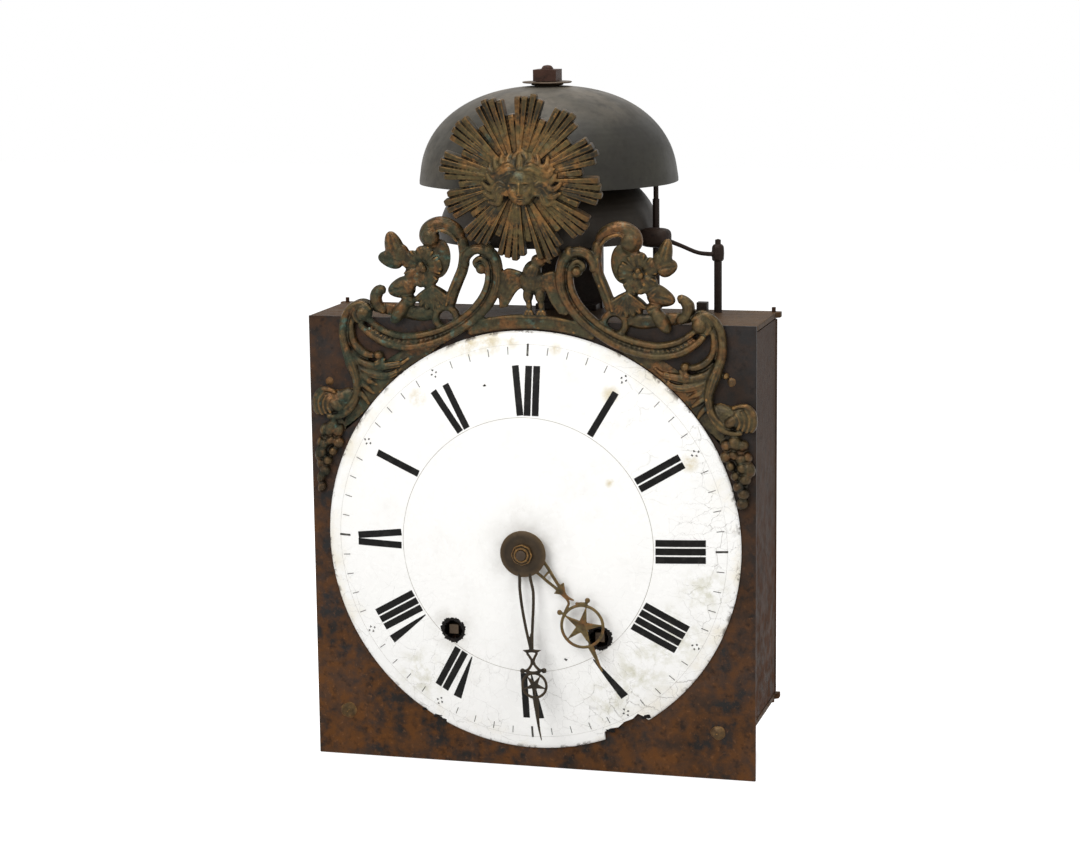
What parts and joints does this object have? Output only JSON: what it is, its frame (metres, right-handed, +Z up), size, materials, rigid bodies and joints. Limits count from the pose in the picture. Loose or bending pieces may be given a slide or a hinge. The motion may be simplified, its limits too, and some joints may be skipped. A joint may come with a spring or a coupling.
{
  "type": "comtoise clock movement",
  "caption": "Wall clock movement in a shallow iron cage with a domed white enamel dial, cast brass pediment with sunburst, nested bells, hammers, side doors and geared hands.",
  "frame": {"origin": "middle of the base plate's underside, which rests on the seat board", "axes": "+Z up towards the bells, -Y out of the dial towards the viewer, +X to the viewer's right"},
  "size_m": [0.2494, 0.1549, 0.3755],
  "materials": {
    "rusted_iron": "hand-forged sheet and bar, dark with brown rust",
    "dark_steel": "filed steel gone dark",
    "white_enamel": "glossy white enamel on sheet copper",
    "old_cast_brass": "sand-cast brass with a brown and green patina",
    "wheel_brass": "turned and filed brass, lightly tarnished",
    "bell_metal": "cast bell bronze, matt grey-brown"
  },
  "bodies": {
    "cage": {"front_plate": "rusted_iron", "top_plate": "rusted_iron", "base_plate": "rusted_iron", "top_plate_stud": "rusted_iron", "pillar_front_left": "rusted_iron", "pillar_front_right": "rusted_iron", "pillar_rear_left": "rusted_iron", "pillar_rear_right": "rusted_iron", "going_front_bar": "rusted_iron", "going_rear_bar": "rusted_iron", "strike_front_bar": "rusted_iron", "strike_rear_bar": "rusted_iron", "centre_bar": "rusted_iron", "bell_stand": "rusted_iron", "bell_washer_small": "rusted_iron", "bell_washer_large": "rusted_iron", "bell_nut": "rusted_iron", "hammer_foot": "rusted_iron", "bell_spindle": "dark_steel", "bell_spacer": "dark_steel", "minute_wheel_stud": "dark_steel", "dial": "white_enamel", "pediment": "old_cast_brass", "sunburst": "old_cast_brass", "lower_rivet_left": "old_cast_brass", "lower_rivet_right": "old_cast_brass", "upper_rivet_left": "old_cast_brass", "upper_rivet_right": "old_cast_brass", "upper_bell": "bell_metal", "lower_bell": "bell_metal"},
    "left_door": {"left_door": "rusted_iron"},
    "right_door": {"right_door": "rusted_iron"},
    "hour_hammer": {"hammer_arbor": "rusted_iron", "hammer_arm": "rusted_iron", "hammer_head": "rusted_iron", "hammer_nut": "rusted_iron"},
    "half_hour_hammer": {"half_hour_hammer": "rusted_iron"},
    "minute_work": {"minute_arbor": "wheel_brass", "minute_hand": "old_cast_brass", "hand_nut": "old_cast_brass"},
    "hour_work": {"hour_wheel": "wheel_brass", "hour_hand": "old_cast_brass"},
    "minute_wheel": {"minute_wheel": "wheel_brass"},
    "going_barrel": {"going_barrel": "wheel_brass"},
    "going_great": {"going_great_wheel": "wheel_brass", "going_click": "dark_steel"},
    "going_second": {"going_second_wheel": "wheel_brass"},
    "going_third": {"going_third_wheel": "wheel_brass"},
    "escape": {"escape_wheel": "wheel_brass"},
    "anchor": {"anchor": "dark_steel"},
    "strike_barrel": {"strike_barrel": "wheel_brass"},
    "strike_great": {"strike_great_wheel": "wheel_brass", "strike_click": "dark_steel"},
    "pin_wheel": {"pin_wheel": "wheel_brass"},
    "warning_wheel": {"warning_wheel": "wheel_brass"},
    "fly": {"fly": "wheel_brass"},
    "rack": {"strike_rack": "dark_steel"}
  },
  "joints": [
    {"name": "left_door_hinge", "type": "hinge", "parent": "cage", "child": "left_door", "pos_m": [-0.1208, 0.0278, 0.107], "axis": [0, 0, -1], "range_deg": [0, 110]},
    {"name": "right_door_hinge", "type": "hinge", "parent": "cage", "child": "right_door", "pos_m": [0.1208, 0.0278, 0.107], "axis": [0, 0, 1], "range_deg": [0, 110]},
    {"name": "hour_hammer_swing", "type": "hinge", "parent": "cage", "child": "hour_hammer", "pos_m": [0.0917, 0.021, 0.16], "axis": [0, 0, 1], "range_deg": [0, 18]},
    {"name": "half_hour_hammer_swing", "type": "hinge", "parent": "cage", "child": "half_hour_hammer", "pos_m": [0.05923, 0.01499, 0.24], "axis": [0, 0, -1], "range_deg": [0, 15]},
    {"name": "going_second_turn", "type": "hinge", "parent": "cage", "child": "going_second", "pos_m": [-0.0405, 0, 0.087], "axis": [0, 1, 0], "continuous": true},
    {"name": "going_great_turn", "type": "hinge", "parent": "cage", "child": "going_great", "pos_m": [-0.0405, 0, 0.047], "axis": [0, 1, 0], "continuous": true},
    {"name": "going_third_turn", "type": "hinge", "parent": "cage", "child": "going_third", "pos_m": [-0.0405, 0, 0.1142], "axis": [0, 1, 0], "continuous": true},
    {"name": "escape_turn", "type": "hinge", "parent": "cage", "child": "escape", "pos_m": [-0.0405, 0, 0.1338], "axis": [0, 1, 0], "continuous": true},
    {"name": "minute_hand_turn", "type": "hinge", "parent": "cage", "child": "minute_work", "pos_m": [0.002, 0, 0.093], "axis": [0, 1, 0], "continuous": true},
    {"name": "minute_wheel_turn", "type": "hinge", "parent": "cage", "child": "minute_wheel", "pos_m": [0.02643, 0, 0.08411], "axis": [0, 1, 0], "continuous": true},
    {"name": "hour_hand_turn", "type": "hinge", "parent": "cage", "child": "hour_work", "pos_m": [0.002, 0, 0.093], "axis": [0, 1, 0], "continuous": true},
    {"name": "anchor_rock", "type": "hinge", "parent": "cage", "child": "anchor", "pos_m": [-0.0405, 0, 0.1548], "axis": [0, 1, 0], "range_deg": [-3, 3]},
    {"name": "going_winding_turn", "type": "hinge", "parent": "cage", "child": "going_barrel", "pos_m": [-0.0405, 0, 0.047], "axis": [0, 1, 0], "continuous": true},
    {"name": "pin_wheel_turn", "type": "hinge", "parent": "cage", "child": "pin_wheel", "pos_m": [0.0405, 0, 0.087], "axis": [0, 1, 0], "continuous": true},
    {"name": "strike_great_turn", "type": "hinge", "parent": "cage", "child": "strike_great", "pos_m": [0.0405, 0, 0.047], "axis": [0, 1, 0], "continuous": true},
    {"name": "warning_wheel_turn", "type": "hinge", "parent": "cage", "child": "warning_wheel", "pos_m": [0.0405, 0, 0.1142], "axis": [0, 1, 0], "continuous": true},
    {"name": "fly_turn", "type": "hinge", "parent": "cage", "child": "fly", "pos_m": [0.0405, 0, 0.1338], "axis": [0, 1, 0], "continuous": true},
    {"name": "strike_winding_turn", "type": "hinge", "parent": "cage", "child": "strike_barrel", "pos_m": [0.0405, 0, 0.047], "axis": [0, 1, 0], "continuous": true},
    {"name": "rack_slide", "type": "slide", "parent": "cage", "child": "rack", "axis": [0, 0, 1], "range_m": [0, 0.013]}
  ],
  "couplings": [
    {"joint": "going_great_turn", "follows": "going_second_turn", "ratio": -0.14286},
    {"joint": "going_third_turn", "follows": "going_second_turn", "ratio": -8},
    {"joint": "escape_turn", "follows": "going_second_turn", "ratio": 60},
    {"joint": "minute_hand_turn", "follows": "going_second_turn", "ratio": -1},
    {"joint": "minute_wheel_turn", "follows": "going_second_turn", "ratio": 0.33333},
    {"joint": "hour_hand_turn", "follows": "going_second_turn", "ratio": -0.083333},
    {"joint": "strike_great_turn", "follows": "pin_wheel_turn", "ratio": -0.14286},
    {"joint": "warning_wheel_turn", "follows": "pin_wheel_turn", "ratio": -6},
    {"joint": "fly_turn", "follows": "pin_wheel_turn", "ratio": 30}
  ]
}
